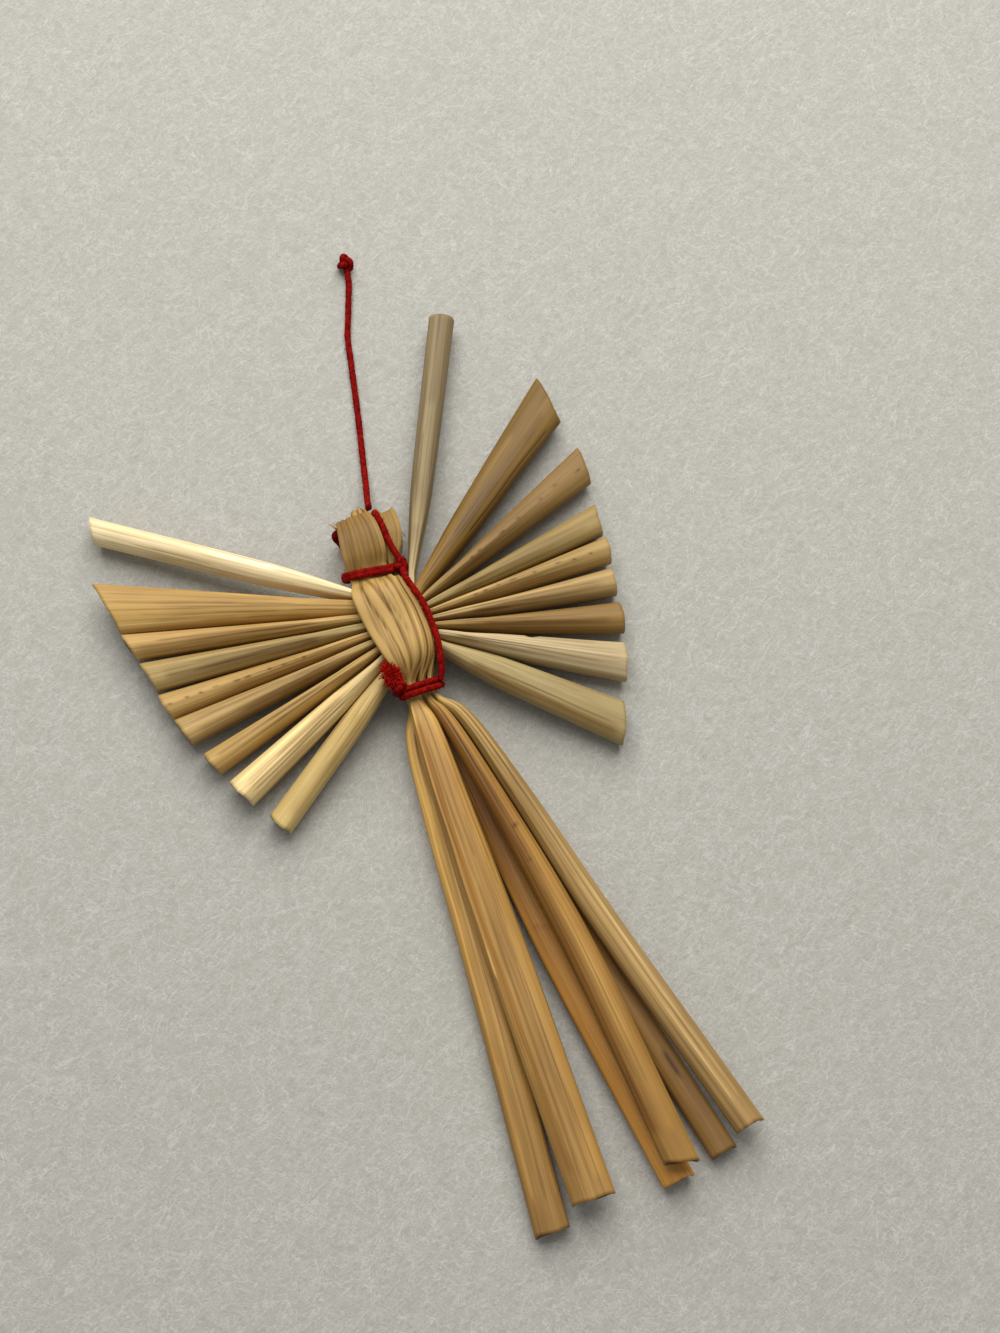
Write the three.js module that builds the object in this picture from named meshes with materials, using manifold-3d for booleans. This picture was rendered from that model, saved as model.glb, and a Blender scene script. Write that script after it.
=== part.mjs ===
// A winged straw figure: three straws folded in half make its head, body and tail, nine straws
// crossing them make the wings, and red thread binds it at the neck and the waist.
// Millimetres. +Y points to the head, +X to the right wing, +Z up; it lies on its back on z = 0.
import * as THREE from 'three';
import { mergeVertices } from 'three/addons/utils/BufferGeometryUtils.js';
import Module from 'manifold-3d';

// ---- Driving dimensions ----
const STRAW_SIDES = 10;
const RINGS_PER_SPAN = 2;
const BORE_RATIO = 0.76;            // a straw's inner size over its outer size
const BORE_STRAIGHT = 0.8;          // part of a bore's depth before it closes to a point
const WING_BORE = 0.95;             // depths of the open ends, in spans between stations
const BODY_BORE = 1.6;
const SQUARENESS = 2.3;             // exponent of a straw's section: 2 is an ellipse
const CUT_REACH = 0.5;              // a slanted cut is spread over this part of the end span

const LAYER_Z = 3.15;               // middle height of the wing layer and of both bindings
const LAYER_HEIGHT = 3.9;           // the wing straws stand this tall inside the body,
const LAYER_TAPER = 0.58;           // and less towards the neck and waist, by this per mm
const LAYER_LEVEL = 1.6;            // past this distance from the middle
const WING_ROOT_LEFT = -2.0;        // x where the wing straws start to fan out, inside the body
const WING_ROOT_RIGHT = 2.3;
const WING_TOP = 4.85;              // the first wing straw's upper edge
const WING_GAP = 0.14;
const FAN_LEFT = 0.9;               // the roots stand wider apart on the left than on the right
const FAN_RIGHT = 0.66;
const WIDTH_SHARE = 0.57;           // what a wing straw's width takes from half its girth

const THREAD = 0.7;                 // thread diameter
const THREAD_SIDES = 8;
const THREAD_STEP = 2 * THREAD;     // length between a run's rings
const TURN_STEPS = 14;              // rings in one turn of a binding
const TURN_PITCH = 1.06 * THREAD;   // between the turns of a binding
const WELD = 1e-4;                  // points nearer than this are one

// Wing straws from the neck to the waist. Each side is [angle above the cross line in degrees,
// length, width at its tip, height of its underside there, parts opened at the two stations of
// WING_REACHES between root and tip]; root is the width inside the body and girth is the length
// around the straw. lean turns the left tip's cut.
const WING_STRAWS = [
  { left: [37.6, 29.4, 2.6, 0.6, 0.25, 0.9], right: [62.7, 31.2, 2.7, 0.5, 0.12, 0.8],
    root: 0.95, girth: 8.4 },
  { left: [22.8, 26.7, 5.2, 1.3, 0.08, 0.3], right: [36.4, 26.4, 4.6, 0.6, 0.1, 0.5],
    root: 1.55, girth: 10.5, lean: 10 },
  { left: [16.4, 24.9, 2.7, 0.1, 0.06, 0.36], right: [21.5, 23.6, 3.7, 0.1, 0.08, 0.4],
    root: 0.8, girth: 9.6 },
  { left: [10.2, 23.5, 3.2, 0.3, 0.06, 0.36], right: [8, 21.1, 3.3, 0.5, 0.08, 0.38],
    root: 0.8, girth: 9.6 },
  { left: [3.9, 22.6, 3.0, 0.1, 0.06, 0.36], right: [0.9, 20.6, 2.8, 0.2, 0.06, 0.36],
    root: 0.75, girth: 9 },
  { left: [-2.8, 21.8, 3.1, 0.5, 0.06, 0.36], right: [-7.2, 20, 3.0, 0.4, 0.06, 0.36],
    root: 0.7, girth: 9.3 },
  { left: [-11.8, 20.7, 2.8, 0.1, 0.06, 0.38], right: [-16.6, 20, 3.3, 0.1, 0.06, 0.36],
    root: 0.7, girth: 9.3 },
  { left: [-21.7, 20, 3.4, 0.3, 0.1, 0.55], right: [-28.7, 20.1, 3.9, 0.4, 0.06, 0.42],
    root: 0.95, girth: 10.4 },
  { left: [-33, 19.2, 2.7, 0.1, 0.1, 0.75], right: [-44.4, 20.9, 4.2, 0.1, 0.08, 0.6],
    root: 1.45, girth: 10.8 },
];
const WING_REACHES = [0, 0.07, 0.35, 1];  // the stations along a side, as parts of its length

// Bindings: turns of thread side by side round the bundle, sloping down to the right, each
// starting and ending in its knot at startAngle.
const NECK = { x: -0.35, y: 5.8, halfWidth: 2.85, halfHeight: 1.65, turns: 1, slope: -11.6,
  startAngle: 24 };
const WAIST = { x: -0.45, y: -7.1, halfWidth: 2.2, halfHeight: 2.05, turns: 2, slope: -6,
  startAngle: 128 };
const NECK_KNOT = { at: [2.5, 5.55, 4.65], size: [1.5, 1.6, 1.4] };
const WAIST_KNOT = { at: [-2.9, -5.6, 5.2], size: [1.7, 2.7, 1.8] };

// Body straws. Each row says [x, z, width, thickness] at the level's y. Under a binding the
// straws run straight for a short way, so the neck and the waist have two levels, and those
// slope as their bindings do.
const LEVEL_Y = {
  mid: [-35], open: [-20], root: [-11], waist: [-8.4, -6.1], low: [-3.9], belly: [0],
  high: [3.6], neck: [5.25, 6.5], brow: [8.2],
};
const LEVEL_SLOPE = { waist: WAIST.slope, neck: NECK.slope };
const BODY_STRAWS = [
  {
    front: {
      end: [-3.4, 2.8, 4.3, 2.2], mid: [-2.4, 3.6, 4, 2.3], open: [-1.8, 4.3, 3.3, 2.3],
      root: [-1.3, 4.3, 2.6, 1.7], waist: [-1.3, 3.85, 1.6, 1.25],
      low: [-0.66, 5.65, 3.42, 0.9], belly: [-0.74, 5.65, 4.38, 0.9],
      high: [-1, 5.65, 4.25, 0.9], neck: [-0.6, 3.7, 3.7, 1], brow: [-0.52, 4.95, 4.5, 0.8],
      head: [-0.27, 5.1, 4.2, 0.8],
    },
    back: {
      end: [-8.05, 1.15, 3.4, 2.2], mid: [-5, 1.35, 3.3, 2.6], open: [-3.5, 1.6, 2.9, 2.8],
      root: [-2.5, 2.1, 2, 1.9], waist: [-1.3, 2.45, 1.6, 1.25], low: [-0.66, 0.35, 3.42, 0.9],
      belly: [-0.74, 0.35, 4.38, 0.9], high: [-1, 0.35, 4.25, 0.9],
      neck: [-0.6, 2.6, 3.7, 1], brow: [-0.25, 1.6, 3.9, 0.8], head: [-0.1, 1.2, 3.9, 0.8],
    },
    headY: 10.4, fold: [-0.2, 12.85, 3.2, 3.4, 0.8], cuts: { front: [-58.8, 4], back: [-60.1, -3] },
  },
  {
    front: {
      end: [5.4, 3.6, 3.3, 2.3], mid: [4.15, 4.0, 3, 2.4], open: [2.3, 4.5, 2.1, 2.2],
      root: [0.85, 4.4, 1.4, 1.7], waist: [0.1, 3.85, 0.88, 1.3], low: [1.54, 5.65, 0.8, 0.9],
      belly: [1.88, 5.65, 0.68, 0.9], high: [1.41, 5.65, 0.42, 0.9],
      neck: [1.6, 3.85, 0.4, 0.5], brow: [2.65, 4.3, 1.5, 0.4], head: [3.1, 4.4, 1.8, 0.4],
    },
    back: {
      end: [4.7, 1.15, 3.3, 2.2], mid: [2.1, 1.3, 3, 2.5], open: [1, 1.6, 2.4, 2.6],
      root: [0.3, 2.1, 1.7, 1.8], waist: [0.1, 2.45, 0.88, 1.3], low: [1.54, 0.35, 0.8, 0.9],
      belly: [1.88, 0.35, 0.68, 0.9], high: [1.41, 0.35, 0.42, 0.9],
      neck: [1.6, 2.45, 0.4, 0.5], brow: [2.65, 1.8, 1.5, 0.4], head: [3.1, 1.7, 1.8, 0.4],
    },
    headY: 9.8, fold: [3.25, 11.9, 3.1, 1.7, 0.5], cuts: { front: [-58.8, 18], back: [-60.2, 5] },
  },
  {
    front: {
      end: [12.85, 2.6, 2.9, 2.2], mid: [7.6, 3.4, 2.8, 2.3], open: [4.65, 4.1, 2.2, 2.3],
      root: [2.45, 4.3, 1.5, 1.8], waist: [0.95, 3.75, 0.62, 1.1], low: [2.22, 5.42, 0.4, 0.5],
      belly: [2.48, 5.42, 0.36, 0.5], high: [1.81, 5.42, 0.28, 0.5],
      neck: [2, 3.55, 0.3, 0.4], brow: [2.6, 3.75, 1.2, 0.35], head: [3, 3.75, 1.4, 0.4],
    },
    back: {
      end: [9.8, 1, 2.7, 2], mid: [5.7, 1.2, 2.6, 2.3], open: [3.7, 1.5, 2.2, 2.4],
      root: [2.15, 2.1, 1.5, 1.8], waist: [0.95, 2.55, 0.62, 1.1], low: [2.22, 0.62, 0.4, 0.5],
      belly: [2.48, 0.62, 0.36, 0.5], high: [1.81, 0.62, 0.28, 0.5],
      neck: [2, 2.8, 0.3, 0.4], brow: [2.6, 2.4, 1.2, 0.35], head: [3, 2.4, 1.4, 0.4],
    },
    headY: 9.2, fold: [3, 10.5, 3.1, 1.3, 0.4], cuts: { front: [-58.1, 5], back: [-59.4, 1] },
  },
];

// Hand-placed runs of thread
const SIDE_RUN = [
  [2.6, 5.4, 4.75], [2.35, 4.3, 5.4], [2.4, 3.35, 5.9], [2.7, 1.87, 6.08], [2.95, 0.65, 6.1],
  [3.0, -0.67, 6.1], [2.97, -2.07, 6.1], [2.85, -3.7, 6.05], [2.55, -5, 5.8], [2.2, -6.3, 5.3],
  [1.75, -7.2, 4.85],
];
const HEAD_RUN = [
  [2.6, 5.8, 4.9], [2.35, 7.1, 5.05], [2.2, 8.5, 5.15], [2.2, 10, 5.2], [2.12, 11.2, 5],
  [2.0, 11.9, 4.55],
];
// Behind the head from the left of the neck and round the edge of the back strip into the fold
const TUCKED_RUN = [
  [-1.95, 6.2, 1.5], [-1.9, 7.2, 0.95], [-1.9, 8.4, 0.5], [-1.95, 9.5, 0.4], [-2.3, 10.4, 0.6],
  [-2.6, 10.9, 1.3], [-2.55, 11.1, 2.1], [-2.1, 11.1, 2.8], [-1.3, 10.9, 3.1],
];
const HANGING_RUN = [
  [1.72, 12.85, 3.9], [1.85, 13.45, 3.25], [2, 14.2, 2.55], [2.3, 15.3, 1.85],
  [2.62, 16.5, 1.2], [3.05, 18.2, 0.65], [3.75, 20.8, 0.4], [4.55, 23.8, 0.38],
  [5.4, 27.2, 0.38], [6.2, 30.4, 0.38], [6.9, 33.2, 0.38], [7.75, 35.3, 0.38],
  [8.55, 37.3, 0.38], [9.2, 38.9, 0.4], [9.45, 39.8, 0.5],
];
const END_KNOT = { at: [9.7, 41.2, 0.9], size: [1.9, 2.0, 1.6] };

// ---- Materials ----
function material(color, roughness) {
  return new THREE.MeshStandardMaterial({ color, roughness, metalness: 0 });
}
const STRAW_COLOURS = [0xd8c493, 0xb8924f, 0xa9854b, 0xb9a26c, 0xb3924f, 0x9c7f4e, 0xb48a45,
  0xcbb988, 0xcdbd8c];
const bodyStraw = material(0xb58d4c, 0.55);
const redThread = material(0x8a1013, 0.85);

const radians = THREE.MathUtils.degToRad;
const lerp = THREE.MathUtils.lerp;

// ---- Straws ----
// The profile of a straw of unit radius and unit length: down one bore, along the outside and
// down the other bore, from axis to axis. depth is how far each open end reaches in.
function strawProfile(rings, depth) {
  const points = [[0, depth], [BORE_RATIO, BORE_STRAIGHT * depth], [BORE_RATIO, 0]];
  for (let ring = 0; ring <= rings; ring++) points.push([1, ring / rings]);
  points.push([BORE_RATIO, 1], [BORE_RATIO, 1 - BORE_STRAIGHT * depth], [0, 1 - depth]);
  return points.map(([radius, along]) => new THREE.Vector2(radius, along));
}

// Bends a straight straw along its stations, each { at, across, along }: across is its size in
// the direction of the reference axis and along its size square to that. bore is the depth of
// each open end, in spans, cuts are the slopes of the two ends, and what would reach below z = 0
// is pressed flat.
function strawGeometry(stations, { reference, bore, cuts }) {
  const spans = stations.length - 1;
  const middle = new THREE.CatmullRomCurve3(stations.map((s) => new THREE.Vector3(...s.at)));
  const sizes = new THREE.CatmullRomCurve3(
    stations.map((s) => new THREE.Vector3(s.across, s.along, 0)), false, 'catmullrom', 0.5);
  const profile = strawProfile(spans * RINGS_PER_SPAN, bore / spans);
  const geometry = new THREE.LatheGeometry(profile, STRAW_SIDES);
  geometry.deleteAttribute('normal');
  geometry.deleteAttribute('uv');
  const position = geometry.attributes.position;
  const point = new THREE.Vector3();
  for (let i = 0; i < position.count; i++) {
    point.fromBufferAttribute(position, i);
    const t = THREE.MathUtils.clamp(point.y, 0, 1);
    const tangent = middle.getTangent(t);
    const first = reference.clone().addScaledVector(tangent, -reference.dot(tangent)).normalize();
    const second = new THREE.Vector3().crossVectors(tangent, first);
    const size = sizes.getPoint(t);
    const radius = Math.hypot(point.x, point.z);
    const angle = Math.atan2(point.x, point.z);
    const [c, s] = [Math.cos(angle), Math.sin(angle)];
    const bulge = radius / (Math.abs(c) ** SQUARENESS + Math.abs(s) ** SQUARENESS) ** (1 / SQUARENESS);
    const a = 0.5 * size.x * bulge * c;
    const b = 0.5 * size.y * bulge * s;
    const nearStart = Math.max(0, 1 - (t * spans) / CUT_REACH);
    const nearEnd = Math.max(0, 1 - ((1 - t) * spans) / CUT_REACH);
    const lateral = Math.abs(reference.z) > 0.5 ? b : a;
    const slant = lateral * (Math.tan(radians(cuts[0])) * nearStart
      + Math.tan(radians(cuts[1])) * nearEnd);
    middle.getPoint(t, point);
    point.addScaledVector(first, a).addScaledVector(second, b).addScaledVector(tangent, slant);
    position.setXYZ(i, point.x, point.y, Math.max(0, point.z));
  }
  return mergeVertices(geometry, WELD);
}

// A wing straw stands on edge inside the body and opens to a tube at both tips.
function wingSide({ side, rootX, rootY, rootWidth, spec, girth }) {
  const [angle, length, tipWidth, underside, ...opened] = spec;
  const layer = LAYER_HEIGHT - LAYER_TAPER * Math.max(0, Math.abs(rootY) - LAYER_LEVEL);
  const tall = (width) => Math.min(layer, girth / 2 - WIDTH_SHARE * width);
  const tipZ = underside + tall(tipWidth) / 2;
  return WING_REACHES.map((reach, index) => {
    const width = lerp(rootWidth, tipWidth, [0, ...opened, 1][index]);
    return {
      at: [rootX + side * Math.cos(radians(angle)) * length * reach,
        rootY + Math.sin(radians(angle)) * length * reach,
        lerp(LAYER_Z, tipZ, reach)],
      across: tall(width),
      along: width,
    };
  });
}

// The wings were trimmed along one line each, so a tip's cut follows the line to its neighbours.
function trimSlope(tips, index, angle, side) {
  const before = tips[Math.max(index - 1, side > 0 ? 1 : 0)];
  const after = tips[Math.min(index + 1, tips.length - 1)];
  const alongTips = THREE.MathUtils.radToDeg(Math.atan2(side * (before[0] - after[0]),
    before[1] - after[1]));
  return -side * (alongTips + angle);
}

function wingStraws() {
  let edge = WING_TOP;
  const roots = WING_STRAWS.map(({ root }) => {
    const middle = edge - root / 2;
    edge -= root + WING_GAP;
    return middle;
  });
  const side = (index, key) => {
    const straw = WING_STRAWS[index];
    const [sign, rootX, fan] = key === 'left' ? [-1, WING_ROOT_LEFT, FAN_LEFT]
      : [1, WING_ROOT_RIGHT, FAN_RIGHT];
    return wingSide({ side: sign, rootX, rootY: roots[index] * fan, rootWidth: straw.root * fan,
      spec: straw[key], girth: straw.girth });
  };
  const tips = {};
  for (const key of ['left', 'right']) {
    tips[key] = WING_STRAWS.map((_, index) => side(index, key).at(-1).at);
  }
  return WING_STRAWS.map((straw, index) => {
    const stations = [...side(index, 'left').reverse(), ...side(index, 'right')];
    const cuts = [trimSlope(tips.left, index, straw.left[0], -1) + (straw.lean ?? 0),
      index === 0 ? 0 : trimSlope(tips.right, index, straw.right[0], 1)];
    const geometry = strawGeometry(stations, {
      reference: new THREE.Vector3(0, 0, 1), bore: WING_BORE, cuts });
    return namedMesh(`wing_straw_${index + 1}`, geometry, material(STRAW_COLOURS[index], 0.55));
  });
}

// A body straw runs from its front tail end over the head fold to its back tail end.
function bodyStrawMesh(straw, index) {
  const half = (key) => Object.entries(straw[key]).flatMap(([level, [x, z, width, thickness]]) => {
    const levels = { ...LEVEL_Y, end: [straw.cuts[key][0]], head: [straw.headY] };
    const shift = x * Math.tan(radians(LEVEL_SLOPE[level] ?? 0));
    return levels[level].map((y) => ({ at: [x, y + shift, z], across: width, along: thickness }));
  });
  const [x, y, z, width, thickness] = straw.fold;
  const stations = [...half('front'), { at: [x, y, z], across: width, along: thickness },
    ...half('back').reverse()];
  const geometry = strawGeometry(stations, {
    reference: new THREE.Vector3(1, 0, 0), bore: BODY_BORE,
    cuts: [-straw.cuts.front[1], straw.cuts.back[1]] });
  return namedMesh(`body_straw_${index + 1}`, geometry, bodyStraw);
}

// ---- Thread ----
function threadTube(points, steps) {
  const section = new THREE.Shape();
  section.absarc(0, 0, THREAD / 2, 0, 2 * Math.PI);
  const path = new THREE.CatmullRomCurve3(points.map((p) => new THREE.Vector3(...p)));
  const geometry = new THREE.ExtrudeGeometry(section,
    { steps, curveSegments: THREAD_SIDES / 2, extrudePath: path });
  geometry.deleteAttribute('normal');
  geometry.deleteAttribute('uv');
  return mergeVertices(geometry, WELD);
}

function runSteps(points) {
  const curve = new THREE.CatmullRomCurve3(points.map((p) => new THREE.Vector3(...p)));
  return Math.round(curve.getLength() / THREAD_STEP);
}

function knotGeometry({ at, size }) {
  const geometry = new THREE.SphereGeometry(0.5, 10, 7);
  geometry.scale(...size).translate(...at);
  geometry.deleteAttribute('normal');
  geometry.deleteAttribute('uv');
  return mergeVertices(geometry, WELD);
}

// A flattened helix round the bundle; it starts and ends inside the knot at startAngle.
function windingPoints({ x, y, halfWidth, halfHeight, turns, slope, startAngle }) {
  const count = turns * TURN_STEPS;
  const points = [];
  for (let i = 0; i <= count; i++) {
    const turn = (i / count - 0.5) * turns;
    const angle = radians(startAngle) + 2 * Math.PI * (i / count) * turns;
    const [c, s] = [Math.cos(angle), Math.sin(angle)];
    const reach = (Math.abs(c) ** 3 + Math.abs(s) ** 3) ** (-1 / 3);
    const across = halfWidth * reach * c;
    points.push([x + across, y + across * Math.tan(radians(slope)) - turn * TURN_PITCH,
      LAYER_Z + halfHeight * reach * s]);
  }
  return points;
}

function joined(wasm, geometries) {
  const solids = geometries.map((geometry) => new wasm.Manifold(new wasm.Mesh({
    numProp: 3,
    vertProperties: new Float32Array(geometry.attributes.position.array),
    triVerts: new Uint32Array(geometry.index.array) })));
  const mesh = solids.reduce((all, one) => all.add(one)).getMesh();
  const geometry = new THREE.BufferGeometry();
  geometry.setAttribute('position', new THREE.BufferAttribute(mesh.vertProperties, 3));
  geometry.setIndex(new THREE.BufferAttribute(mesh.triVerts, 1));
  return geometry;
}

// One thread ties the neck, runs down the right side of the body and ties the waist. From the
// neck one strand goes up beside the head and another is tucked through the head's fold.
function bindingThread(wasm) {
  return joined(wasm, [
    ...[NECK, WAIST].map((spec) => threadTube(windingPoints(spec), spec.turns * TURN_STEPS)),
    knotGeometry(NECK_KNOT),
    knotGeometry(WAIST_KNOT),
    ...[SIDE_RUN, HEAD_RUN, TUCKED_RUN].map((points) => threadTube(points, runSteps(points))),
  ]);
}

function namedMesh(name, geometry, meshMaterial) {
  const mesh = new THREE.Mesh(geometry, meshMaterial);
  mesh.name = name;
  return mesh;
}

// ---- Assembly ----
const wasm = await Module();
wasm.setup();

const ornament = new THREE.Group();
ornament.add(...wingStraws());
ornament.add(...BODY_STRAWS.map(bodyStrawMesh));
ornament.add(namedMesh('binding_thread', bindingThread(wasm), redThread));
ornament.add(namedMesh('hanging_thread', threadTube(HANGING_RUN, runSteps(HANGING_RUN)), redThread));
ornament.add(namedMesh('end_knot', knotGeometry(END_KNOT), redThread));

// The origin is the middle of the underside of everything but the hanging thread.
const CORD_NODES = ['hanging_thread', 'end_knot'];
const box = new THREE.Box3();
for (const mesh of ornament.children.filter(({ name }) => !CORD_NODES.includes(name))) {
  box.expandByObject(mesh);
}
const middle = box.getCenter(new THREE.Vector3());
for (const mesh of ornament.children) mesh.geometry.translate(-middle.x, -middle.y, -box.min.z);

export default ornament;
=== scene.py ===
"""A winged straw figure bound with red thread, on a pale fibrous sheet.

Every place below is in millimetres from the middle of the figure's body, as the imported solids
are laid out: +Y to the head, +X to the right wing, +Z up. row() turns it into the row frame.
"""

import math
from typing import NamedTuple

import bpy
import numpy as np
from mathutils import Matrix, Vector


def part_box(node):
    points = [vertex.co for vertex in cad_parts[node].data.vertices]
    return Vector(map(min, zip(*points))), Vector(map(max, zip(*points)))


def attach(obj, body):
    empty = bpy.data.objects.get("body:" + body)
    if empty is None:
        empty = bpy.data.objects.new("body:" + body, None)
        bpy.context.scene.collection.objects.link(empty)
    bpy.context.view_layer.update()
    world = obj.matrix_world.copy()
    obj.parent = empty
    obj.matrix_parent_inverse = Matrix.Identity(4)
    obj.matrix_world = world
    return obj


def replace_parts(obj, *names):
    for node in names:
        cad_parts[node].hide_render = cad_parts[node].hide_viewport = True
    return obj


MM = 0.001
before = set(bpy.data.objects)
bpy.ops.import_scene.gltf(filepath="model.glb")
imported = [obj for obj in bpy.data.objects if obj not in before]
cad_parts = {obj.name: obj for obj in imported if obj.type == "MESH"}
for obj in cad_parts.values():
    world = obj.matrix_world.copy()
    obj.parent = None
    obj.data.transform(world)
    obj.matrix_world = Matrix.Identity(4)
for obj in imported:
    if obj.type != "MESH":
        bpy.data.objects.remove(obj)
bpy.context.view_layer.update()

# ---- Frame ----
END_KNOT = (9.7, 41.2, 0.9)  # where the thread's end knot is, from the middle of the body
low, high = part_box("end_knot")
BODY_MIDDLE = np.array((low + high) / 2) / MM - np.array(END_KNOT)


def row(points):
    """Millimetres from the middle of the body to metres in the row frame."""
    return (np.asarray(points, float) + BODY_MIDDLE) * MM


# ---- Camera ----
VIEW_TURN = math.radians(22)  # the figure's axis leans this far from the picture's
VIEW_ELEVATION = math.radians(73)
VIEW_DISTANCE = 210
VIEW_TARGET = (7.9, -7.6, 3)
LENS = 75.6
SENSOR_WIDTH = 36
VIEW_RIGHT = Vector((math.cos(VIEW_TURN), -math.sin(VIEW_TURN), 0))
VIEW_NORTH = Vector((math.sin(VIEW_TURN), math.cos(VIEW_TURN), 0))  # up the picture, on the floor


def make_camera():
    data = bpy.data.cameras.new("camera")
    data.lens = LENS
    data.sensor_width = SENSOR_WIDTH
    data.sensor_fit = "HORIZONTAL"
    data.clip_start = 0.01
    camera = bpy.data.objects.new("camera", data)
    back = Vector((0, 0, 1)) * math.sin(VIEW_ELEVATION) - VIEW_NORTH * math.cos(VIEW_ELEVATION)
    up = back.cross(VIEW_RIGHT)
    turn = Matrix((VIEW_RIGHT, up, back)).transposed().to_4x4()
    place = Vector(row(VIEW_TARGET)) + back * VIEW_DISTANCE * MM
    camera.matrix_world = Matrix.Translation(place) @ turn
    bpy.context.scene.collection.objects.link(camera)
    bpy.context.scene.camera = camera


# ---- Curves ----
FINE_STEPS = 60  # samples for each point of a curve, to measure its length
TANGENT_STEP = 0.01  # in points
TINY = 1e-12


def ends_added(points):
    """The points with one more, mirrored, before the first and after the last."""
    p = np.asarray(points, float)
    return np.vstack([2 * p[0] - p[1], p, 2 * p[-1] - p[-2]])


def pick(points, u):
    """For each place u, counted in points, the four points round it and the part between them."""
    i = np.clip(np.floor(u).astype(int), 0, len(points) - 4)
    return [points[i + k] for k in range(4)], (u - i)[:, None]


def hermite(p1, p2, m1, m2, w):
    c2 = 3 * (p2 - p1) - 2 * m1 - m2
    c3 = 2 * (p1 - p2) + m1 + m2
    return p1 + w * (m1 + w * (c2 + w * c3))


def curve_at(points, u):
    """A smooth curve through the points, with spacing that follows their distances."""
    (p0, p1, p2, p3), w = pick(ends_added(points), u)
    d0, d1, d2 = (np.sum((b - a) ** 2, axis=1, keepdims=True) ** 0.25
                  for a, b in ((p0, p1), (p1, p2), (p2, p3)))
    m1 = ((p1 - p0) / d0 - (p2 - p0) / (d0 + d1) + (p2 - p1) / d1) * d1
    m2 = ((p2 - p1) / d1 - (p3 - p1) / (d1 + d2) + (p3 - p2) / d2) * d1
    return hermite(p1, p2, m1, m2, w)


def values_at(values, u):
    """A smooth run of values, evenly spaced."""
    (p0, p1, p2, p3), w = pick(ends_added(values), u)
    return hermite(p1, p2, (p2 - p0) / 2, (p3 - p1) / 2, w)


def even_steps(points, pitch):
    """Places along the curve about pitch apart, and the length up to each."""
    fine = np.linspace(0, len(points) - 1, FINE_STEPS * len(points))
    reach = np.concatenate([[0], np.cumsum(np.linalg.norm(
        np.diff(curve_at(points, fine), axis=0), axis=1))])
    count = max(2, round(reach[-1] / pitch))
    wanted = np.linspace(0, reach[-1], count + 1)
    return np.interp(wanted, reach, fine), wanted


def unit(vectors):
    return vectors / np.maximum(np.linalg.norm(vectors, axis=-1, keepdims=True), TINY)


def tangents(points, u):
    """The unit directions of a curve at the places u."""
    last = len(points) - 1
    return unit(curve_at(points, np.minimum(u + TANGENT_STEP, last))
                - curve_at(points, np.maximum(u - TANGENT_STEP, 0)))


def smoothstep(x):
    x = np.clip(x, 0, 1)
    return x * x * (3 - 2 * x)


def bump(x, width):
    """1 at x = 0, falling to nothing over about two widths."""
    return np.exp(-((x / width) ** 2))


# ---- Meshes ----
UV_MAP = "StrawMap"
TINT = "Tint"


def add_mesh(name, points, quads, triangles, material, uv=None, tint=None):
    """A smooth-shaded mesh, facing out, from quads and triangles. uv is the map's places at the
    corners of the quads and of the triangles, and tint is a colour for each point."""
    corners = points[quads[:, [0, 1, 2]]], points[quads[:, [0, 2, 3]]]
    volume = sum(np.einsum("ij,ij->i", c[:, 0], np.cross(c[:, 1], c[:, 2])).sum()
                 for c in corners)
    if volume < 0:
        quads = quads[:, ::-1]
        triangles = triangles[:, ::-1]
        uv = uv and tuple(part[:, ::-1] for part in uv)
    mesh = bpy.data.meshes.new(name)
    mesh.from_pydata(row(points).tolist(), [], quads.tolist() + triangles.tolist())
    mesh.shade_smooth()
    if uv is not None:
        layer = mesh.uv_layers.new(name=UV_MAP)
        flat = np.concatenate([part.reshape(-1, 2) for part in uv])
        layer.uv.foreach_set("vector", flat.astype(np.float32).ravel())
    if tint is not None:
        colours = np.concatenate([tint, np.ones((len(tint), 1))], axis=1)
        layer = mesh.color_attributes.new(TINT, "FLOAT_COLOR", "POINT")
        layer.data.foreach_set("color", colours.astype(np.float32).ravel())
    mesh.materials.append(material)
    piece = bpy.data.objects.new(name, mesh)
    bpy.context.scene.collection.objects.link(piece)
    return piece


def lattice(rings, sides):
    """The ring and side of each quad's corners, between rings of sides points, not wrapped."""
    r, s = np.meshgrid(np.arange(rings - 1), np.arange(sides), indexing="ij")
    ring = np.stack([r, r, r + 1, r + 1], axis=-1).reshape(-1, 4)
    side = np.stack([s, s + 1, s + 1, s], axis=-1).reshape(-1, 4)
    return ring, side


def capped(rings):
    """Points, quads and triangles of a closed tube through rings of points."""
    count, sides = rings.shape[:2]
    ring, side = lattice(count, sides)
    quads = ring * sides + side % sides
    flat = rings.reshape(-1, 3)
    around = np.arange(sides)
    after = (around + 1) % sides
    base = (count - 1) * sides
    caps = np.concatenate([
        np.stack([np.full(sides, len(flat)), after, around], axis=1),
        np.stack([np.full(sides, len(flat) + 1), base + around, base + after], axis=1)])
    return np.concatenate([flat, rings[[0, -1]].mean(axis=1)]), quads, caps


def joined(parts):
    """Several (points, quads, triangles) as one."""
    points, quads, triangles, base = [], [], [], 0
    for p, q, t in parts:
        points.append(p)
        quads.append(q + base)
        triangles.append(t + base)
        base += len(p)
    return np.concatenate(points), np.concatenate(quads), np.concatenate(triangles)


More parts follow.
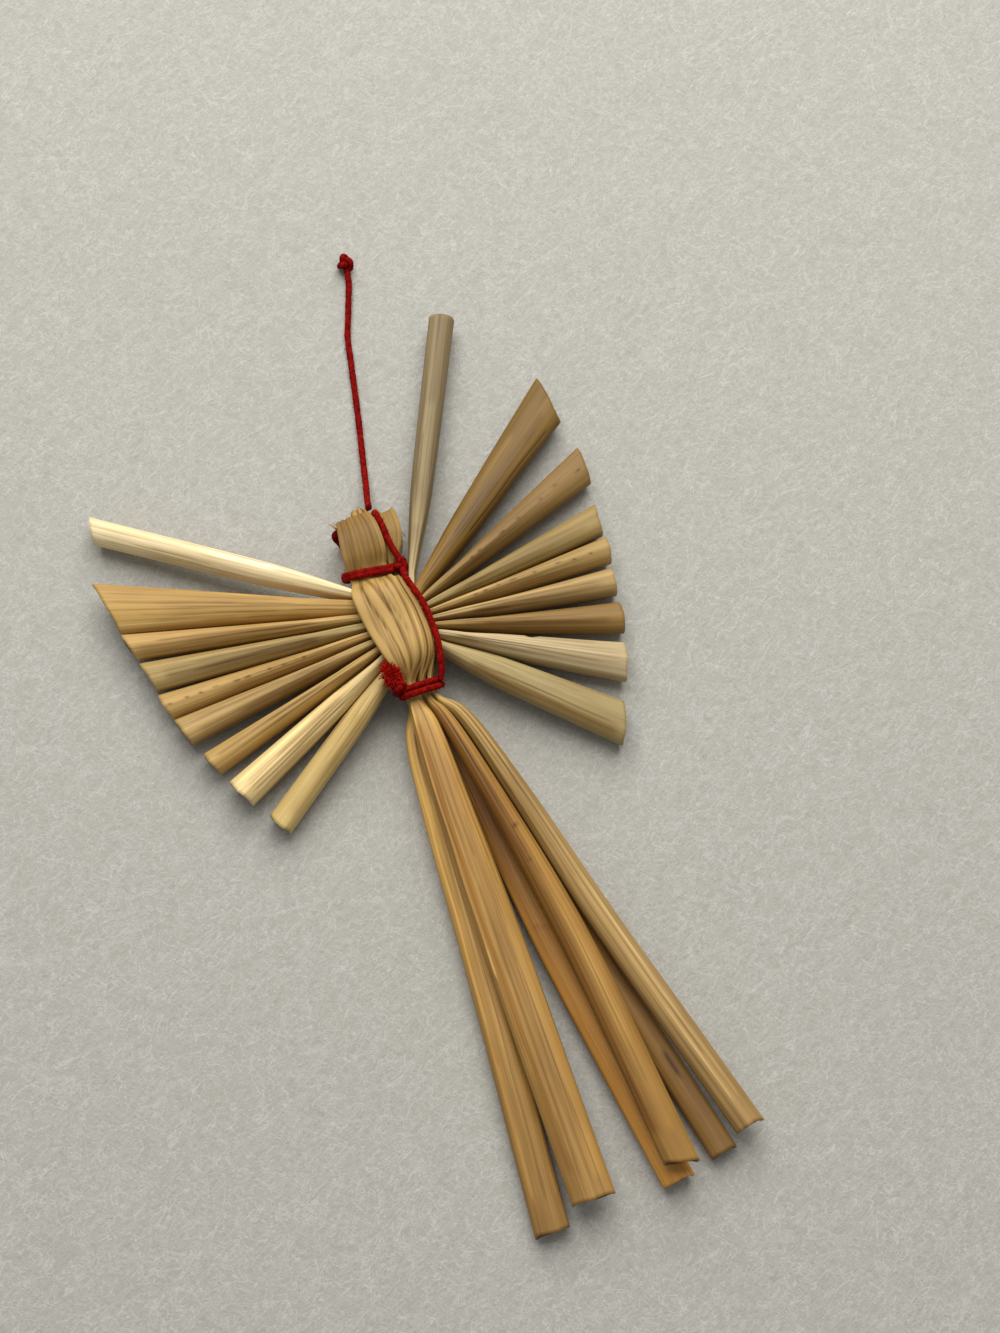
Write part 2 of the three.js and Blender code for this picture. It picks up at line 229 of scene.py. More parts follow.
def periodic(rng, count, smooth=1):
    """A function of angle with count random values round the circle, of about unit size."""
    values = rng.normal(size=count)
    for _ in range(smooth):
        values = (np.roll(values, 1) + 2 * values + np.roll(values, -1)) / 4
    values = (values - values.mean()) / values.std()
    wrapped = np.append(values, values[0])

    def at(angle):
        return np.interp(np.mod(angle / (2 * math.pi), 1) * count, np.arange(count + 1), wrapped)

    return at


# ---- Materials ----
def node_tools(name):
    """A new material with its nodes, a function that adds a node, and one that links."""
    material = bpy.data.materials.new(name)
    material.use_nodes = True
    tree = material.node_tree
    shader = tree.nodes["Principled BSDF"]

    def add(kind, **values):
        node = tree.nodes.new(kind)
        for key, value in values.items():
            if key in node.inputs:
                node.inputs[key].default_value = value
            else:
                setattr(node, key, value)
        return node

    return material, shader, add, tree.links.new


def ramp(add, stops):
    node = add("ShaderNodeValToRGB")
    elements = node.color_ramp.elements
    while len(elements) < len(stops):
        elements.new(0.5)
    for element, (place, colour) in zip(elements, stops):
        element.position = place
        element.color = (*colour, 1)
    return node


def multiplied(add, link, colour, layer):
    """The product of two colours."""
    product = add("ShaderNodeMix", data_type="RGBA", blend_type="MULTIPLY")
    product.inputs["Factor"].default_value = 1
    link(colour, product.inputs[6])
    link(layer, product.inputs[7])
    return product.outputs[2]


def blended(add, link, first, second, part):
    """Two values mixed, with the given part of the second."""
    mix = add("ShaderNodeMix", data_type="FLOAT")
    mix.inputs["Factor"].default_value = part
    link(first, mix.inputs[2])
    link(second, mix.inputs[3])
    return mix.outputs[0]


def raise_surface(add, link, shader, height, strength, distance):
    raised = add("ShaderNodeBump", Strength=strength, Distance=distance)
    link(height, raised.inputs["Height"])
    link(raised.outputs["Normal"], shader.inputs["Normal"])


def straw_material(name, dark, base, light):
    """Dry straw: fine fibres along its length, broader streaks, a dull sheen and a tint from the
    mesh. The map's u goes round the straw and its v along it, both in millimetres."""
    material, shader, add, link = node_tools(name)
    place = add("ShaderNodeUVMap", uv_map=UV_MAP)

    def fibres(across, along, detail, shift):
        scaled = add("ShaderNodeMapping")
        scaled.inputs["Scale"].default_value = (across, along, 1)
        scaled.inputs["Location"].default_value = (shift, 0.37 * shift, shift)
        link(place.outputs["UV"], scaled.inputs["Vector"])
        noise = add("ShaderNodeTexNoise", Scale=1.0, Detail=detail, Roughness=0.65)
        link(scaled.outputs["Vector"], noise.inputs["Vector"])
        return noise.outputs["Fac"]

    fine = fibres(4.6, 0.035, 3.0, 3.1)
    both = blended(add, link, fine, fibres(1.3, 0.03, 2.0, 7.7), 0.4)
    all_three = blended(add, link, both, fibres(10.5, 0.05, 2.0, 11.9), 0.3)
    colour = ramp(add, [(0.3, dark), (0.46, base), (0.54, base), (0.7, light)])
    link(all_three, colour.inputs["Fac"])
    blotch = ramp(add, [(0.32, (0.86, 0.83, 0.78)), (0.62, (1.04, 1.04, 1.04))])
    link(fibres(0.5, 0.09, 2.0, 15.3), blotch.inputs["Fac"])
    # The tint from the mesh also carries painted shade and painted highlights.
    tint = add("ShaderNodeVertexColor", layer_name=TINT)
    blotched = multiplied(add, link, colour.outputs["Color"], blotch.outputs["Color"])
    link(multiplied(add, link, blotched, tint.outputs["Color"]), shader.inputs["Base Color"])

    rough = add("ShaderNodeMapRange")
    rough.inputs["From Min"].default_value = 0.3
    rough.inputs["From Max"].default_value = 0.7
    rough.inputs["To Min"].default_value = 0.68
    rough.inputs["To Max"].default_value = 0.5
    link(fine, rough.inputs["Value"])
    link(rough.outputs["Result"], shader.inputs["Roughness"])
    raise_surface(add, link, shader, fine, 0.35, 0.00006)
    shader.inputs["Specular IOR Level"].default_value = 0.35
    return material


def thread_material():
    """Dark crimson cotton: a soft sheen, and paler and darker stretches along the fibres."""
    material, shader, add, link = node_tools("red_cotton")
    place = add("ShaderNodeTexCoord")
    noise = add("ShaderNodeTexNoise", Scale=2600.0, Detail=3.0, Roughness=0.7)
    link(place.outputs["Object"], noise.inputs["Vector"])
    colour = ramp(add, [(0.3, (0.06, 0.001, 0.0004)), (0.5, (0.17, 0.002, 0.0008)),
                        (0.72, (0.32, 0.006, 0.002))])
    link(noise.outputs["Fac"], colour.inputs["Fac"])
    tint = add("ShaderNodeVertexColor", layer_name=TINT)
    link(multiplied(add, link, colour.outputs["Color"], tint.outputs["Color"]),
         shader.inputs["Base Color"])
    raise_surface(add, link, shader, noise.outputs["Fac"], 0.6, 0.00008)
    shader.inputs["Roughness"].default_value = 0.85
    shader.inputs["Specular IOR Level"].default_value = 0.06
    return material


# ---- Straws ----
SIDES = 104
RING_PITCH = 0.36
SQUARENESS = 2.3  # exponent of a straw's section: 2 is an ellipse
FLAT_SQUARENESS = 2.5  # added to it where the straw is pressed flat
CUT_REACH = 0.5  # a slanted cut is spread over this part of the end span
WALL = 0.26
BORE_DEPTH = 9.0
BORE_RINGS = range(0, int(BORE_DEPTH / RING_PITCH), 3)
BORE_SHADE = 0.55  # colour multiplier inside the bore
RIBS = 0.02  # height of the fine fibres
LOBES = 0.07  # height of the broad facets, as a part of the thin size
RAGGED = 0.07  # unevenness of a cut
TINT_RANGE = (0.02, 2)


class Stroke(NamedTuple):
    """A line along a straw: a crack, a ridge, a streak or, if it's short, a spot."""

    # A stroke's tint paints shade into cracks and grooves and highlight onto ridges, as well as
    # the straw's own streaks and stains.
    start: tuple  # place along the straw, counted in stations, and part across, from -1 to 1
    end: tuple
    width: float  # millimetres
    depth: float = 0.0  # millimetres, into the straw
    tint: tuple = (1.0, 1.0, 1.0)
    face: int = 1  # 1 is the side that faces up and -1 the one that faces down


def stroke_weight(stroke, u, reach, across, half_width, facing):
    """How much of the stroke there is at each ring and side."""
    (u0, x0), (u1, x1) = sorted((stroke.start, stroke.end))
    part = np.clip((u - u0) / (u1 - u0), 0, 1)[:, None]
    wander = 0.02 * np.sin(reach / 1.7 + 9 * x0)[:, None]
    aside = (across - (x0 + (x1 - x0) * part) - wander) * half_width
    r0, r1 = np.interp((u0, u1), u, reach)
    fade = min(1.2, 0.4 * (r1 - r0) + 0.01)
    within = smoothstep((reach - r0) / fade) * smoothstep((r1 - reach) / fade)
    return bump(aside, stroke.width) * within[:, None] * smoothstep(3 * stroke.face * facing)


def grain_and_facets(rng, reach, angle):
    """Fine fibres and broad facets round a straw, which drift slowly along it."""
    fibre = [periodic(rng, 50), periodic(rng, 50)]
    lobe = [periodic(rng, 7, 0), periodic(rng, 5, 0)]
    drift = 0.5 + 0.5 * np.sin(reach / rng.uniform(9, 14) + rng.uniform(0, 6))[:, None]
    turn = 0.25 * np.sin(reach / rng.uniform(14, 22) + rng.uniform(0, 6))[:, None]
    grain = fibre[0](angle) * (1 - drift) + fibre[1](angle) * drift
    facets = lobe[0](angle + turn) * (1 - drift) + lobe[1](angle + turn) * drift
    return grain, facets


def tone_along(tones, u):
    """The colour multiplier at each place u, from (place, colour) pairs."""
    places = [place for place, _ in tones]
    levels = np.array([tone for _, tone in tones], float)
    return np.stack([np.interp(u, places, levels[:, k]) for k in range(3)], axis=1)[:, None]


def cut_slide(u, last, lateral, cuts, ragged):
    """How far each point slides along the straw, to slant the cuts at its two ends."""
    near_start = np.maximum(0, 1 - u / CUT_REACH)[:, None]
    near_end = np.maximum(0, 1 - (last - u) / CUT_REACH)[:, None]
    first, second = (lateral * math.tan(math.radians(cut)) for cut in cuts)
    return (first - ragged) * near_start + (second + ragged) * near_end


def hollow_mesh(name, surface, inner, reach, colour, girth, material):
    """A straw's skin: its surface, and its inside as deep as the bore at each end."""
    bore = np.array(BORE_RINGS)
    end = len(reach) - 1 - bore
    bore = bore[::-1]
    rings = np.concatenate([inner[bore], surface, inner[end]])
    rings[..., 2] = np.maximum(rings[..., 2], 0)
    along = np.concatenate([reach[bore], reach, reach[end]])
    tint = np.concatenate([BORE_SHADE * colour[bore], colour, BORE_SHADE * colour[end]])
    tint = np.concatenate([tint.reshape(-1, 3), tint[[0, -1], 0]])
    ring, side = lattice(len(rings), SIDES)
    uv = np.stack([side / SIDES * girth, along[ring]], axis=-1)
    points, quads, caps = capped(rings)
    return add_mesh(name + "_skin", points, quads, caps, material,
                    (uv, np.zeros((len(caps), 3, 2))), np.clip(tint, *TINT_RANGE))


def straw(name, stations, reference, cuts, seam, seed, material, tones, strokes=(), pleats=()):
    """A hollow straw bent along its stations, each (point, size across, size along).

    reference is the direction that the size across is measured in, and seam the angle where the
    map starts, on the hidden side. tones are (place, colour multiplier) along the straw, and
    pleats are (place, spread, depth) of gathered stretches.
    """
    rng = np.random.default_rng(seed)
    points = [point for point, _, _ in stations]
    u, reach = even_steps(points, RING_PITCH)
    middle = curve_at(points, u)
    tangent = tangents(points, u)
    size = values_at([(across, along) for _, across, along in stations], u) / 2
    reference = np.asarray(reference, float)
    first = unit(reference - tangent * (tangent @ reference)[:, None])
    second = np.cross(tangent, first)

    # The plain section: an ellipse that turns squarer where the straw is flat
    angle = seam + 2 * math.pi * np.arange(SIDES) / SIDES
    c, s = np.cos(angle), np.sin(angle)
    thin = size.min(axis=1, keepdims=True)
    flat = size.max(axis=1, keepdims=True) / thin
    square = SQUARENESS + FLAT_SQUARENESS * smoothstep((flat - 2.5) / 2.5)
    bulge = (abs(c) ** square + abs(s) ** square) ** (-1 / square)
    a = size[:, :1] * bulge * c
    b = size[:, 1:] * bulge * s
    out = unit(first[:, None] * (c / size[:, :1])[..., None]
               + second[:, None] * (s / size[:, 1:])[..., None])
    upright = abs(reference[2]) > 0.5
    across, half_width = (bulge * s, size[:, 1:]) if upright else (bulge * c, size[:, :1])

    # Relief and colour, with painted shade in the folds and cracks and painted highlights on
    # ridges
    grain, facets = grain_and_facets(rng, reach, angle)
    height = RIBS * grain + LOBES * thin * facets
    colour = tone_along(tones, u) * (1 + 0.06 * grain + 0.03 * facets)[..., None]
    for place, spread, depth in pleats:
        gather = bump(u - place, spread)[:, None] * np.clip(
            0.3 + periodic(rng, 24)(angle + 0.15 * (u - place)[:, None]), 0, 1.6)
        height -= depth * gather
        # The gathered folds are darkened too: painted shade in the folds.
        colour *= (1 - 0.2 * gather)[..., None]
    for stroke in strokes:
        weight = stroke_weight(stroke, u, reach, across, half_width, out[..., 2])
        height -= stroke.depth * weight
        colour *= 1 + weight[..., None] * (np.array(stroke.tint) - 1)
    surface = middle[:, None] + first[:, None] * a[..., None] + second[:, None] * b[..., None]
    surface += out * height[..., None]

    ragged = RAGGED * periodic(rng, 15)(angle)
    slide = cut_slide(u, len(stations) - 1, b if upright else a, cuts, ragged)
    surface += tangent[:, None] * slide[..., None]
    inner = surface - out * np.minimum(WALL, 0.4 * thin)[..., None]
    girth = 2 * math.pi * math.hypot(*size.mean(axis=0)) / math.sqrt(2)
    piece = hollow_mesh(name, surface, inner, reach, colour, girth, material)
    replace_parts(piece, name)
    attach(piece, "root")
    return piece


# ---- Wing straws ----
LAYER_Z = 3.15  # middle height of the wing layer and of both bindings
LAYER_HEIGHT = 3.9
LAYER_TAPER = 0.58
LAYER_LEVEL = 1.6
WING_ROOT = {-1: -2.0, 1: 2.3}  # x where the wing straws start to fan out, inside the body
WING_FAN = {-1: 0.9, 1: 0.66}
WING_TOP = 4.85
WING_GAP = 0.14
WING_REACHES = (0, 0.07, 0.35, 1)  # the stations along a side, as parts of its length
WIDTH_SHARE = 0.57  # how much of a straw's width its height gives up, for the same girth
WING_SEED = 100
WING_LINES_SEED = 300
# Each side is (angle above the cross line, length, width at the tip, underside's height there,
# parts opened at the two middle reaches)
WING_STRAWS = [
    {-1: (37.6, 29.4, 2.6, 0.6, 0.25, 0.9), 1: (62.7, 31.2, 2.7, 0.5, 0.12, 0.8),
     "root": 0.95, "girth": 8.4},
    {-1: (22.8, 26.7, 5.2, 1.3, 0.08, 0.3), 1: (36.4, 26.4, 4.6, 0.6, 0.1, 0.5),
     "root": 1.55, "girth": 10.5, "lean": 10},
    {-1: (16.4, 24.9, 2.7, 0.1, 0.06, 0.36), 1: (21.5, 23.6, 3.7, 0.1, 0.08, 0.4),
     "root": 0.8, "girth": 9.6},
    {-1: (10.2, 23.5, 3.2, 0.3, 0.06, 0.36), 1: (8, 21.1, 3.3, 0.5, 0.08, 0.38),
     "root": 0.8, "girth": 9.6},
    {-1: (3.9, 22.6, 3.0, 0.1, 0.06, 0.36), 1: (0.9, 20.6, 2.8, 0.2, 0.06, 0.36),
     "root": 0.75, "girth": 9},
    {-1: (-2.8, 21.8, 3.1, 0.5, 0.06, 0.36), 1: (-7.2, 20, 3.0, 0.4, 0.06, 0.36),
     "root": 0.7, "girth": 9.3},
    {-1: (-11.8, 20.7, 2.8, 0.1, 0.06, 0.38), 1: (-16.6, 20, 3.3, 0.1, 0.06, 0.36),
     "root": 0.7, "girth": 9.3},
    {-1: (-21.7, 20, 3.4, 0.3, 0.1, 0.55), 1: (-28.7, 20.1, 3.9, 0.4, 0.06, 0.42),
     "root": 0.95, "girth": 10.4},
    {-1: (-33, 19.2, 2.7, 0.1, 0.1, 0.75), 1: (-44.4, 20.9, 4.2, 0.1, 0.08, 0.6),
     "root": 1.45, "girth": 10.8},
]


def wing_roots():
    """The y of each wing straw's middle inside the body."""
    edge, roots = WING_TOP, []
    for spec in WING_STRAWS:
        roots.append(edge - spec["root"] / 2)
        edge -= spec["root"] + WING_GAP
    return roots


def wing_side(index, side):
    """One side's stations, from the body to the tip."""
    spec = WING_STRAWS[index]
    angle, length, tip_width, underside, *opened = spec[side]
    root_y = wing_roots()[index] * WING_FAN[side]
    root_width = spec["root"] * WING_FAN[side]
    layer = LAYER_HEIGHT - LAYER_TAPER * max(0, abs(root_y) - LAYER_LEVEL)

    def tall(width):
        return min(layer, spec["girth"] / 2 - WIDTH_SHARE * width)

    turn = math.radians(angle)
    tip_z = underside + tall(tip_width) / 2
    stations = []
    for reach, part in zip(WING_REACHES, (0, *opened, 1)):
        width = root_width + (tip_width - root_width) * part
        point = (WING_ROOT[side] + side * math.cos(turn) * length * reach,
                 root_y + math.sin(turn) * length * reach,
                 LAYER_Z + (tip_z - LAYER_Z) * reach)
        stations.append((point, tall(width), width))
    return stations


def trim_slope(index, side):
    """The wing was trimmed along one line, so a tip's cut follows the line to its neighbours."""
    tips = [wing_side(i, side)[-1][0] for i in range(len(WING_STRAWS))]
    before = tips[max(index - 1, 1 if side > 0 else 0)]
    after = tips[min(index + 1, len(tips) - 1)]
    along = math.degrees(math.atan2(side * (before[0] - after[0]), before[1] - after[1]))
    return -side * (along + WING_STRAWS[index][side][0])


PALE = ("pale_straw", (0.27, 0.18, 0.075), (0.56, 0.425, 0.21), (0.84, 0.72, 0.45))
GOLDEN = ("golden_straw", (0.18, 0.095, 0.02), (0.44, 0.27, 0.078), (0.66, 0.46, 0.18))
BROWN = ("brown_straw", (0.13, 0.07, 0.02), (0.36, 0.23, 0.078), (0.56, 0.4, 0.16))
GREENISH = ("greenish_straw", (0.15, 0.105, 0.035), (0.38, 0.275, 0.1), (0.6, 0.48, 0.21))
BODY = ("body_straw", (0.11, 0.052, 0.009), (0.345, 0.197, 0.05), (0.57, 0.385, 0.13))
# Each wing straw's kind, and its colour multipliers at the left tip, the body and the right tip
# The right tips of straws 1 and 2 are darkened as painted shadow of a garland above them, which
# isn't built.
WING_LOOKS = [
    (PALE, (1.25, 1.31, 1.48), (1.1, 1.1, 1.1), (0.35, 0.33, 0.3)),
    (GOLDEN, (0.95, 0.92, 0.84), (0.85, 0.78, 0.65), (0.39, 0.34, 0.16)),
    (BROWN, (1.3, 1.25, 1.12), (0.9, 0.88, 0.8), (0.64, 0.57, 0.42)),
    (GREENISH, (0.95, 0.9, 0.85), (0.85, 0.84, 0.76), (0.79, 0.74, 0.63)),
    (GOLDEN, (1.05, 1.06, 1.15), (0.85, 0.8, 0.75), (0.86, 0.9, 0.98)),
    (BROWN, (1.1, 1.1, 1.1), (0.9, 0.9, 0.85), (1.12, 1.15, 1.25)),
    (GOLDEN, (0.98, 1.0, 1.03), (0.85, 0.8, 0.7), (0.58, 0.54, 0.44)),
    (PALE, (1.25, 1.21, 1.06), (0.85, 0.8, 0.7), (0.85, 0.85, 0.9)),
    (PALE, (0.95, 0.88, 0.62), (0.9, 0.85, 0.75), (0.59, 0.58, 0.46)),
]
DARK_STREAK = (0.62, 0.55, 0.48)
FAINT_STREAK = (0.8, 0.76, 0.7)
# Lighter lines: the straw's own pale streaks, brightened as painted highlight where they run along
# raised ridges and along edges that face the lamp.
PALE_STREAK_AND_HIGHLIGHT = (1.3, 1.35, 1.4)
PALE_LINE = (1.15, 1.17, 1.2)
STAIN = (0.35, 0.26, 0.2)


def wing_place(side, part):
    """The place, counted in the straw's stations, 0 to 7, at a part of a side's length."""
    middle = WING_REACHES[2]
    beyond = (part - middle) / (1 - middle)
    return 1 - beyond if side < 0 else 6 + beyond


def streak(side, part0, part1, across0, across1, width, tint, depth=0.0):
    return Stroke((wing_place(side, part0), across0), (wing_place(side, part1), across1),
                  width, depth, tint)


def spots(side, part0, part1, across, count, seed, width=0.11):
    """A row of small dark stains along one side of a wing straw."""
    rng = np.random.default_rng(seed)
    stains = []
    for part in np.linspace(part0, part1, count) + rng.uniform(-0.02, 0.02, count):
        length = rng.uniform(0.02, 0.045)
        aside = across + rng.uniform(-0.1, 0.1)
        stains.append(streak(side, part, min(part + length, 0.99), aside, aside, width, STAIN))
    return stains


def fine_lines(rng, first, last, count):
    """Thin dark and pale lines at random between two places along a straw."""
    lines = []
    for _ in range(count):
        start = rng.uniform(first, first + 0.6 * (last - first))
        end = start + rng.uniform(0.25, 0.4) * (last - first)
        across = rng.uniform(-0.85, 0.85)
        tint = FAINT_STREAK if rng.uniform() < 0.65 else PALE_LINE
        lines.append(Stroke((start, across), (end, across + rng.uniform(-0.05, 0.05)),
                            rng.uniform(0.04, 0.09), 0.02, tint))
    return lines


# Part across is -1 at the edge nearer the head and 1 at the one nearer the tail
WING_STROKES = [
    [streak(-1, 0.3, 0.99, -0.3, -0.4, 0.25, PALE_STREAK_AND_HIGHLIGHT),
     streak(-1, 0.1, 0.8, 0.5, 0.4, 0.15, FAINT_STREAK),
     streak(1, 0.05, 0.7, 0.1, 0.0, 0.5, PALE_STREAK_AND_HIGHLIGHT)],
    [streak(-1, 0.3, 0.99, -0.5, -0.55, 0.12, FAINT_STREAK),
     streak(-1, 0.2, 0.99, -0.1, -0.15, 0.1, FAINT_STREAK, 0.03),
     streak(-1, 0.3, 0.9, 0.45, 0.4, 0.15, FAINT_STREAK),
     streak(1, 0.3, 0.93, 0.8, 0.8, 0.09, DARK_STREAK, 0.08),
     streak(1, 0.2, 0.95, 0.1, 0.2, 0.5, FAINT_STREAK),
     streak(1, 0.2, 0.8, -0.55, -0.5, 0.3, PALE_STREAK_AND_HIGHLIGHT)],
    [streak(-1, 0.05, 0.99, 0.55, 0.55, 0.5, FAINT_STREAK),
     streak(-1, 0.1, 0.9, 0.15, 0.1, 0.13, DARK_STREAK, 0.05),
     *spots(1, 0.25, 0.95, 0.1, 7, 31)],
    [streak(-1, 0.1, 0.95, 0.5, 0.45, 0.3, DARK_STREAK),
     streak(-1, 0.2, 0.95, -0.1, 0.0, 0.2, FAINT_STREAK),
     streak(1, 0.1, 0.95, 0.35, 0.3, 0.2, FAINT_STREAK)],
    [*spots(-1, 0.3, 0.96, 0.15, 10, 51), *spots(1, 0.2, 0.9, 0.05, 8, 52, 0.09)],
    [streak(-1, 0.2, 0.95, 0.55, 0.5, 0.35, FAINT_STREAK),
     streak(1, 0.1, 0.95, 0.3, 0.3, 0.25, FAINT_STREAK)],
    [streak(-1, 0.3, 0.98, 0.0, 0.0, 0.15, DARK_STREAK, 0.06),
     streak(1, 0.2, 0.95, 0.45, 0.4, 0.3, FAINT_STREAK)],
    [streak(-1, 0.2, 0.99, -0.55, -0.5, 0.35, PALE_STREAK_AND_HIGHLIGHT),
     *[streak(-1, 0.25, 0.97, across, across + 0.05, 0.07, DARK_STREAK, 0.06)
       for across in (-0.1, 0.12, 0.34, 0.56)],
     *[streak(1, 0.15, 0.99, across, across, 0.06, FAINT_STREAK, 0.05)
       for across in (-0.4, -0.15, 0.12, 0.4)],
     streak(1, 0.5, 0.57, -0.95, -0.95, 0.25, FAINT_STREAK, 0.14)],
    [streak(-1, 0.2, 0.95, 0.5, 0.45, 0.4, FAINT_STREAK),
     streak(1, 0.05, 0.99, 0.62, 0.66, 0.55, (0.8, 0.68, 0.52)),
     streak(1, 0.3, 0.99, 0.3, 0.35, 0.07, FAINT_STREAK, 0.05)],
]


def make_wing_straw(index):
    (slot, dark, base, light), left, root, right = WING_LOOKS[index]
    name = f"wing_straw_{index + 1}"
    stations = wing_side(index, -1)[::-1] + wing_side(index, 1)
    cuts = (trim_slope(index, -1) + WING_STRAWS[index].get("lean", 0),
            0 if index == 0 else trim_slope(index, 1))
    tones = [(0, left), (1, left), (3, root), (4, root), (6, right), (7, right)]
    rng = np.random.default_rng(WING_LINES_SEED + index)
    lines = fine_lines(rng, 0.02, 1.9, 16) + fine_lines(rng, 5.1, 6.98, 16)
    piece = straw(name, stations, (0, 0, 1), cuts, math.pi, WING_SEED + index,
                  straw_material(name + "_dry", dark, base, light), tones,
                  strokes=WING_STROKES[index] + lines)


# ---- Body straws ----
NECK = {"x": -0.35, "y": 5.9, "half_width": 2.85, "half_height": 1.45,
        "turns": 1, "slope": -11.6, "start": 24}
WAIST = {"x": -0.45, "y": -7.1, "half_width": 2.2, "half_height": 2.05,
         "turns": 2, "slope": -6, "start": 150}
LEVEL_Y = {"mid": (-35,), "open": (-20,), "root": (-11,), "waist": (-8.4, -6.1), "low": (-3.9,),
           "belly": (0,), "high": (3.6,), "neck": (5.25, 6.5), "brow": (8.2,)}
LEVEL_SLOPE = {"waist": WAIST["slope"], "neck": NECK["slope"]}
HALF_LEVELS = ("end", "mid", "open", "root", "waist", "low", "belly", "high", "neck", "brow",
               "head")
# Each half's rows are (x, z, width, thickness) at the levels above, in their order
BODY_STRAWS = [
    {
     "front": [
        (-3.4, 2.8, 4.3, 2.2), (-2.4, 3.6, 4, 2.3), (-1.8, 4.3, 3.3, 2.3), (-1.3, 4.3, 2.6, 1.7),
        (-1.3, 3.85, 1.6, 1.25), (-0.66, 5.65, 3.9, 0.9), (-0.67, 5.65, 5.1, 0.9),
        (-0.93, 5.65, 5.0, 0.9), (-0.82, 3.8, 4.15, 1), (-0.52, 4.95, 4.5, 0.8),
        (-0.27, 5.1, 4.2, 0.8)],
     "back": [
        (-8.05, 1.15, 3.4, 2.2), (-5, 1.35, 3.3, 2.6), (-3.5, 1.6, 2.9, 2.8), (-2.5, 2.1, 2, 1.9),
        (-1.3, 2.45, 1.6, 1.25), (-0.66, 0.35, 3.42, 0.9), (-0.74, 0.35, 4.38, 0.9),
        (-1, 0.35, 4.25, 0.9), (-0.6, 2.6, 3.7, 1), (-0.25, 1.6, 3.9, 0.8), (-0.1, 1.2, 3.9, 0.8)],
     "head_y": 10.4, "fold": ((-0.2, 12.45, 3.2), 3.5, 0.8), "ends": (-58.8, -60.1),
     "cuts": (-4, -3)},
    {
     "front": [
        (5.4, 3.6, 3.3, 2.3), (4.15, 4.0, 3, 2.4), (2.3, 4.5, 2.1, 2.2), (0.85, 4.4, 1.4, 1.7),
        (0.1, 3.85, 0.88, 1.3), (1.75, 5.6, 1.2, 0.9), (2.05, 5.6, 1.25, 0.9),
        (1.55, 5.6, 0.9, 0.9), (1.7, 3.85, 0.7, 0.5), (2.45, 4.3, 1.9, 0.4),
        (2.85, 4.4, 2.3, 0.4)],
     "back": [
        (4.7, 1.15, 3.3, 2.2), (2.1, 1.3, 3, 2.5), (1, 1.6, 2.4, 2.6), (0.3, 2.1, 1.7, 1.8),
        (0.1, 2.45, 0.88, 1.3), (1.54, 0.35, 0.8, 0.9), (1.88, 0.35, 0.68, 0.9),
        (1.41, 0.35, 0.42, 0.9), (1.6, 2.45, 0.4, 0.5), (2.65, 1.8, 1.5, 0.4),
        (3.1, 1.7, 1.8, 0.4)],
     "head_y": 9.8, "fold": ((3.05, 11.9, 3.1), 2.1, 0.5), "ends": (-58.8, -60.2),
     "cuts": (-18, 5)},
    {
     "front": [
        (12.85, 2.6, 2.9, 2.2), (7.6, 3.4, 2.8, 2.3), (4.65, 4.1, 2.2, 2.3), (2.45, 4.3, 1.5, 1.8),
        (0.95, 3.75, 0.62, 1.1), (2.22, 5.3, 0.4, 0.5), (2.48, 5.3, 0.36, 0.5),
        (1.81, 5.3, 0.28, 0.5), (2, 3.55, 0.3, 0.4), (2.6, 3.75, 1.2, 0.35), (3, 3.75, 1.4, 0.4)],
     "back": [
        (9.8, 1, 2.7, 2), (5.7, 1.2, 2.6, 2.3), (3.7, 1.5, 2.2, 2.4), (2.15, 2.1, 1.5, 1.8),
        (0.95, 2.55, 0.62, 1.1), (2.22, 0.62, 0.4, 0.5), (2.48, 0.62, 0.36, 0.5),
        (1.81, 0.62, 0.28, 0.5), (2, 2.8, 0.3, 0.4), (2.6, 2.4, 1.2, 0.35), (3, 2.4, 1.4, 0.4)],
     "head_y": 9.2, "fold": ((3, 10.5, 3.1), 1.3, 0.4), "ends": (-58.1, -59.4),
     "cuts": (-5, 1)},
]
# Places along a body straw, counted in stations: the front tail's end is 0, its waist 4 and 5,
# then low 6, belly 7, high 8, neck 9 and 10, brow 11, head 12 and the fold 13; the back half
# has them in the other order, to its tail's end at 26.
FOLD = 13
BODY_SEED = 200
BODY_LINES_SEED = 320
GATHERED = [(9, 1.3, 0.1), (5, 1.5, 0.12), (17, 1.3, 0.1), (21, 1.5, 0.12)]
# Cracks and the fine grooves between ridges are darkened with these: painted shade in their
# hollows.
CRACK_SHADE = (0.38, 0.28, 0.17)
FINE_CRACK_SHADE = (0.66, 0.58, 0.46)


def on_back(strokes):
    """The same strokes on the other half of the straw, which faces down."""
    return [s._replace(start=(2 * FOLD - s.start[0], s.start[1]),
                       end=(2 * FOLD - s.end[0], s.end[1]), face=-1) for s in strokes]


